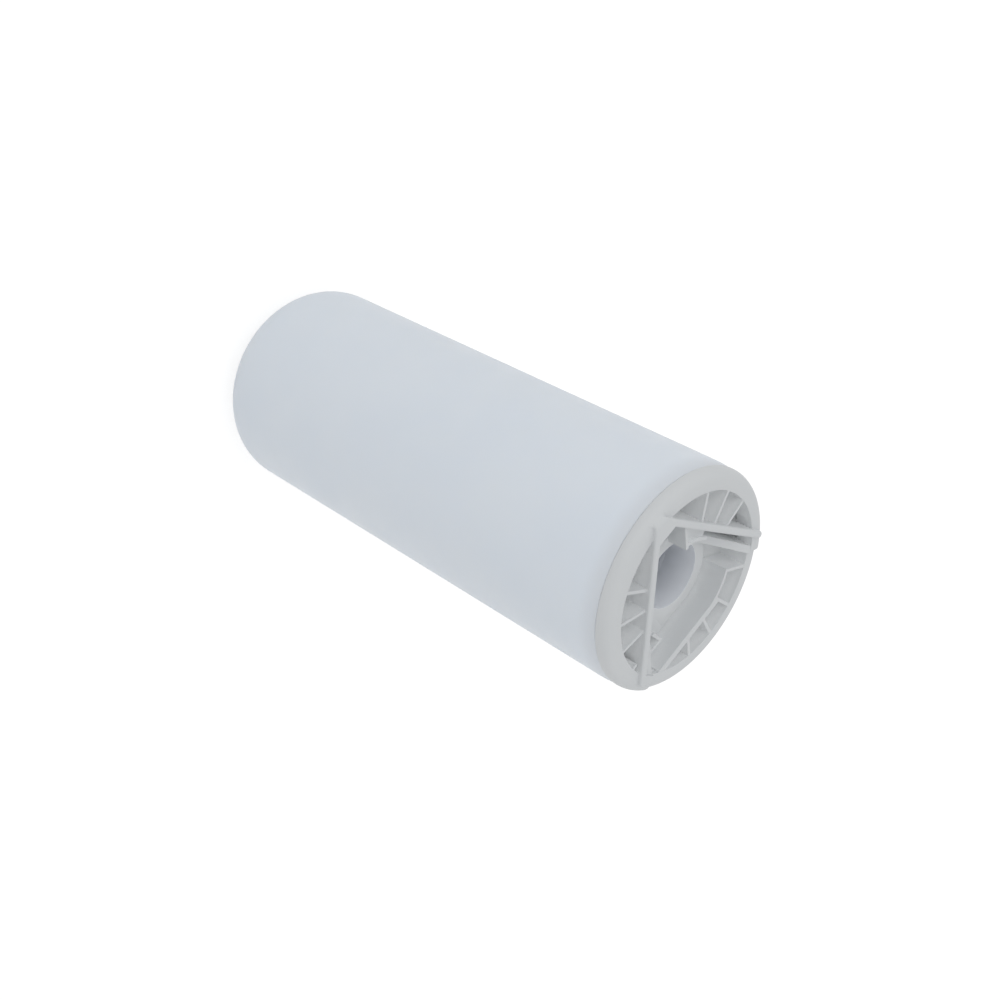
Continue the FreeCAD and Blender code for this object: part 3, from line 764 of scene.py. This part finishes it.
cap_plastic = satin_plastic("satin grey white plastic", colour=(0.602, 0.620, 0.633),
                            cloud_colour=(0.585, 0.606, 0.621), roughness=0.50,
                            grain=0.30 * MM, grain_depth=0.02 * MM, glow=0.0)
paint_light_in_hollows(cap_plastic, BAY_REACH, BAY_LIMIT, BAY_PAINTED_LIGHT)
end_cap.data.materials.append(cap_plastic)
print("end cap:", cap_plastic.name)

# %% [markdown]
# ### The bore of the outlet
# The cap's own bore and the tube below it read as one bluish pipe. The cap's plastic takes the
# tube's tone wherever it lies nearer to the axis than the bore's edge, which is simpler than a
# second material on the cap's faces.

# %% Line the bore
BORE_EDGE = 13.6 * MM
BORE_TONE = (0.74, 0.765, 0.805)


def add_maths(finish, operation, first, second):
    """One Math node. Its second input is another node's output or a plain number."""
    step = finish.node_tree.nodes.new("ShaderNodeMath")
    step.operation = operation
    finish.node_tree.links.new(first, step.inputs[0])
    if isinstance(second, float):
        step.inputs[1].default_value = second
    else:
        finish.node_tree.links.new(second, step.inputs[1])
    return step.outputs["Value"]


def line_bore(finish, radius, colour):
    """Gives a colour to all that lies nearer to the axis than a radius. The distance from the axis
    is the length of (x, y, 0)."""
    flat = finish.node_tree.nodes.new("ShaderNodeVectorMath")
    flat.operation = "MULTIPLY"
    flat.inputs[1].default_value = (1, 1, 0)
    finish.node_tree.links.new(object_place(finish), flat.inputs[0])
    distance = finish.node_tree.nodes.new("ShaderNodeVectorMath")
    distance.operation = "LENGTH"
    finish.node_tree.links.new(flat.outputs["Vector"], distance.inputs[0])
    mix_over(finish, add_maths(finish, "LESS_THAN", distance.outputs["Value"], radius), colour)


line_bore(cap_plastic, BORE_EDGE, BORE_TONE)
print(f"bore lined out to {BORE_EDGE / MM:.1f} mm from the axis")

# %% [markdown]
# ### The pieces inside
# The tube and the slotted screens are natural plastic, without the canister's white. The gasket is
# pale silicone rubber, which is duller. All three come from the same function.

# %% Make the plastics of the tube, the screens and the gasket
tube_plastic = satin_plastic("natural plastic of the tube", colour=BORE_TONE,
                             cloud_colour=(0.69, 0.71, 0.76), roughness=0.40,
                             grain=0.40 * MM, grain_depth=0.02 * MM, glow=0.20)
screen_plastic = satin_plastic("natural plastic of the screens", colour=(0.74, 0.75, 0.75),
                               cloud_colour=(0.72, 0.73, 0.74), roughness=0.45,
                               grain=0.40 * MM, grain_depth=0.02 * MM, glow=0.20)
gasket_rubber = satin_plastic("pale silicone rubber", colour=BORE_TONE,
                              cloud_colour=(0.69, 0.71, 0.755), roughness=0.55,
                              grain=0.50 * MM, grain_depth=0.01 * MM, glow=0.30)
tube.data.materials.append(tube_plastic)
gasket.data.materials.append(gasket_rubber)
for node in ("upper_screen", "lower_screen"):
    nodes[node].material_slots[0].material = screen_plastic
print("inside:", ", ".join(finish.name for finish in (tube_plastic, screen_plastic, gasket_rubber)))

# %% [markdown]
# ## What the canister holds
# The felts and the resin are sealed in and don't show, but they get their own finishes all the same.
# Felt is matted fibre. Modelled hairs would be far too many, so noise is stretched into short
# strands, which give both the tone and the relief.

# %% Make the felt
FIBRE = 0.4 * MM
FIBRE_STRETCH = (1.0, 0.25, 1.0)
FELT_DARK = (0.72, 0.71, 0.66)
FELT_LIGHT = (0.86, 0.86, 0.83)


def felt_finish():
    """White felt: fibres in tone and in relief, and a soft sheen along the edges."""
    finish = new_finish("white felt", FELT_DARK)
    stretch = finish.node_tree.nodes.new("ShaderNodeMapping")
    stretch.inputs["Scale"].default_value = FIBRE_STRETCH
    finish.node_tree.links.new(object_place(finish), stretch.inputs["Vector"])
    fibres = add_noise(finish, stretch.outputs["Vector"], FIBRE, detail=5)
    mix_over(finish, fibres, FELT_LIGHT)
    add_relief(finish, fibres, strength=0.8, depth=0.3 * MM)
    shader_of(finish).inputs["Roughness"].default_value = 0.95
    shader_of(finish).inputs["Sheen Weight"].default_value = 0.3
    return finish


felt = felt_finish()
for node in ("upper_felt", "lower_felt"):
    nodes[node].material_slots[0].material = felt
print("felts:", felt.name)

# %% [markdown]
# The resin is a bed of amber beads under a millimetre across, which Voronoi cells give as round
# bumps. A million real spheres would say no more about a bed that is sealed in.

# %% Make the resin
BEAD = 0.8 * MM
RESIN_DARK = (0.42, 0.20, 0.05)
RESIN_LIGHT = (0.68, 0.40, 0.13)


def resin_finish():
    """Amber resin beads: each Voronoi cell is a bead, with its own tone and a round relief that is
    highest at the cell's middle, where the distance to it is 0."""
    finish = new_finish("amber resin beads", RESIN_DARK)
    links = finish.node_tree.links
    beads = finish.node_tree.nodes.new("ShaderNodeTexVoronoi")
    beads.inputs["Scale"].default_value = 1 / BEAD
    links.new(object_place(finish), beads.inputs["Vector"])
    split = finish.node_tree.nodes.new("ShaderNodeSeparateColor")
    links.new(beads.outputs["Color"], split.inputs["Color"])
    mix_over(finish, split.outputs["Red"], RESIN_LIGHT)
    relief = add_relief(finish, beads.outputs["Distance"], strength=0.9, depth=0.4 * MM)
    relief.invert = True
    shader_of(finish).inputs["Roughness"].default_value = 0.25
    return finish


resin = resin_finish()
nodes["resin_bed"].material_slots[0].material = resin
print("resin bed:", resin.name)

# %% [markdown]
# ## Floor, light and camera
# The photograph is a white cut-out, so the floor is white. A white material alone would need more
# light than the object should have, so the floor adds a little glow for camera rays only, and for
# what shiny or clear things would see of it: it reads as white, and the object's soft shadow stays.

# %% Build the floor
FLOOR_SIZE = 12.0
FLOOR_WHITE = (0.86, 0.86, 0.86)
GLOW_SHARE = 0.6
GLOW_LEVEL = 1.27


def white_stage():
    """Matt white and glow, mixed: (1 - share) * matt + share * glow. The share is a set part for
    camera, glossy and transmission rays, and 0 for all others, so shadows stay."""
    finish = new_finish("white studio floor", FLOOR_WHITE)
    tree_nodes, links = finish.node_tree.nodes, finish.node_tree.links
    shader = shader_of(finish)
    shader.inputs["Roughness"].default_value = 1.0
    shader.inputs["Specular IOR Level"].default_value = 0.0
    rays = tree_nodes.new("ShaderNodeLightPath").outputs
    seen = add_maths(finish, "MAXIMUM", rays["Is Glossy Ray"], rays["Is Transmission Ray"])
    direct = add_maths(finish, "MAXIMUM", rays["Is Camera Ray"], seen)
    share = add_maths(finish, "MULTIPLY", direct, GLOW_SHARE)
    glow = tree_nodes.new("ShaderNodeEmission")
    glow.inputs["Strength"].default_value = GLOW_LEVEL
    mixed = tree_nodes.new("ShaderNodeMixShader")
    links.new(share, mixed.inputs["Fac"])
    links.new(shader.outputs["BSDF"], mixed.inputs[1])
    links.new(glow.outputs["Emission"], mixed.inputs[2])
    links.new(mixed.outputs["Shader"], tree_nodes["Material Output"].inputs["Surface"])
    return finish


half = FLOOR_SIZE / 2
corners = np.array([[-half, -half, 0], [half, -half, 0], [half, half, 0], [-half, half, 0]])
floor = add_mesh("floor", corners, [(0, 1, 2, 3)])
floor.data.materials.append(white_stage())
print(f"floor: {FLOOR_SIZE:.0f} m square")

# %% [markdown]
# The world is white for the camera and dimmer for the object, which it lights evenly from all sides.
# With white light of full strength all round, the pale plastic would clip to white.

# %% Set the world
WORLD_LEVEL = 0.74


def set_world():
    """The background's strength goes from the plain level to 1 where the camera looks straight at it."""
    world = bpy.data.worlds.new("white room")
    world.use_nodes = True
    scene.world = world
    tree_nodes, links = world.node_tree.nodes, world.node_tree.links
    level = tree_nodes.new("ShaderNodeMapRange")
    level.inputs["To Min"].default_value = WORLD_LEVEL
    level.inputs["To Max"].default_value = 1.0
    links.new(tree_nodes.new("ShaderNodeLightPath").outputs["Is Camera Ray"], level.inputs["Value"])
    back = tree_nodes["Background"]
    back.inputs["Color"].default_value = (1, 1, 1, 1)
    links.new(level.outputs["Result"], back.inputs["Strength"])


set_world()
print("world:", scene.world.name)

# %% [markdown]
# The lamps are large and soft, because the body's shading in the photograph is broad and has no hard
# edge. Area lamps give that. Each one stands at a place in metres, has its power in watts and looks
# at the middle of the object.

# %% Set the lamps
LAMP_SIZE = 1.4
LAMPS = {
    "front lamp": ((-1.53, 0.0, 1.40), 5.6),
    "side lamp": ((-0.77, 1.33, 1.40), 2.6),
    "back lamp": ((1.73, -1.0, 1.04), 2.6),
}


def add_lamp(name, place, power):
    """A square soft lamp that faces the middle of the object."""
    lamp = bpy.data.lights.new(name, "AREA")
    lamp.size = LAMP_SIZE
    lamp.energy = power
    holder = bpy.data.objects.new(name, lamp)
    scene.collection.objects.link(holder)
    aim = Vector((0, 0, SEAM_HEIGHT / 2)) - Vector(place)
    holder.location = place
    holder.rotation_mode = "QUATERNION"
    holder.rotation_quaternion = aim.to_track_quat("-Z", "Y")


for name, (place, power) in LAMPS.items():
    add_lamp(name, place, power)
print("lamps:", ", ".join(LAMPS))

# %% [markdown]
# In the photograph the cartridge lies across the frame. Here it stands, so the camera is rolled
# instead: it looks down on the object from beside the ribbed end, and the picture shows it lying.
# The camera's own right and up directions say that more plainly than three angles would.

# %% Place the camera
CAMERA_PLACE = Vector((-414.83, -148.63, 478.17)) * MM
CAMERA_RIGHT = Vector((0.35234, 0.62736, 0.69446))
CAMERA_UP = Vector((-0.56210, 0.73515, -0.37893))
CAMERA_LENS = 50.1
SENSOR_WIDTH = 36.0
NEAREST_SEEN = 20.0 * MM

camera_data = bpy.data.cameras.new("camera")
camera_data.lens = CAMERA_LENS
camera_data.sensor_width = SENSOR_WIDTH
camera_data.clip_start = NEAREST_SEEN
camera = bpy.data.objects.new("camera", camera_data)
scene.collection.objects.link(camera)
scene.camera = camera
turned = Matrix((CAMERA_RIGHT, CAMERA_UP, CAMERA_RIGHT.cross(CAMERA_UP))).transposed()
camera.matrix_world = Matrix.Translation(CAMERA_PLACE) @ turned.to_4x4()
scene.view_settings.view_transform = "Standard"
print("camera at", [round(c, 3) for c in CAMERA_PLACE])
